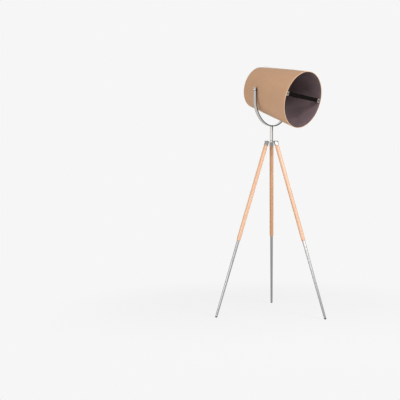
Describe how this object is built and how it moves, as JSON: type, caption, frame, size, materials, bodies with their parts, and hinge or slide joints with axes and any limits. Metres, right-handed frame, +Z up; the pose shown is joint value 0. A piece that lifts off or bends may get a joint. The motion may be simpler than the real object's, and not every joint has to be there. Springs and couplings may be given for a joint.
{
  "type": "tripod floor lamp",
  "caption": "Floor lamp with a wide tapered drum shade tilting in a flat-bar yoke, on a short stem over splayed legs of wood and steel.",
  "frame": {"origin": "on the floor, straight below the stem and the swivel axis", "axes": "+Z up along the stem; the shade faces -Y at rest and its tilt axis is along X"},
  "size_m": [0.6454, 0.6107, 1.5035],
  "materials": {
    "chrome": "polished",
    "zinc": "satin",
    "wood": "clear lacquer, satin",
    "leg_steel": "polished",
    "tip_rubber": "matte",
    "laminate": "speckled kraft laminate outside, dark brown lining inside",
    "black_paint": "semi-matte powder coat",
    "pale_paint": "semi-gloss",
    "pale_plastic": "matte",
    "black_plastic": "matte",
    "contact_brass": "plain"
  },
  "bodies": {
    "stand": {"hub": "chrome", "upper_leg_1": "wood", "upper_leg_2": "wood", "upper_leg_3": "wood", "lower_leg_1": "leg_steel", "lower_leg_2": "leg_steel", "lower_leg_3": "leg_steel", "foot_tips": "tip_rubber", "stem": "chrome", "hub_screw": "zinc", "yoke_screw": "zinc"},
    "yoke": {"yoke": "chrome"},
    "shade": {"shade_shell": "laminate", "back_panel": "black_paint", "top_strip": "pale_plastic", "front_crossbar": "black_paint", "crossbar_clip_left": "pale_paint", "crossbar_clip_right": "pale_paint", "clip_screws": "black_paint", "pivot_bolts": "chrome", "pivot_cap_nuts": "chrome", "pivot_spacers": "black_plastic", "lamp_carrier": "zinc", "lamp_holder": "black_plastic", "holder_ring": "black_plastic", "centre_contact": "contact_brass", "cord_gland": "black_plastic"}
  },
  "joints": [
    {"name": "yoke_swivel", "type": "hinge", "parent": "stand", "child": "yoke", "pos_m": [0, 0, 1.14], "axis": [0, 0, 1], "range_deg": [-170, 170]},
    {"name": "shade_tilt", "type": "hinge", "parent": "yoke", "child": "shade", "pos_m": [0, 0, 1.34952], "axis": [1, 0, 0], "range_deg": [-105, 21]}
  ]
}
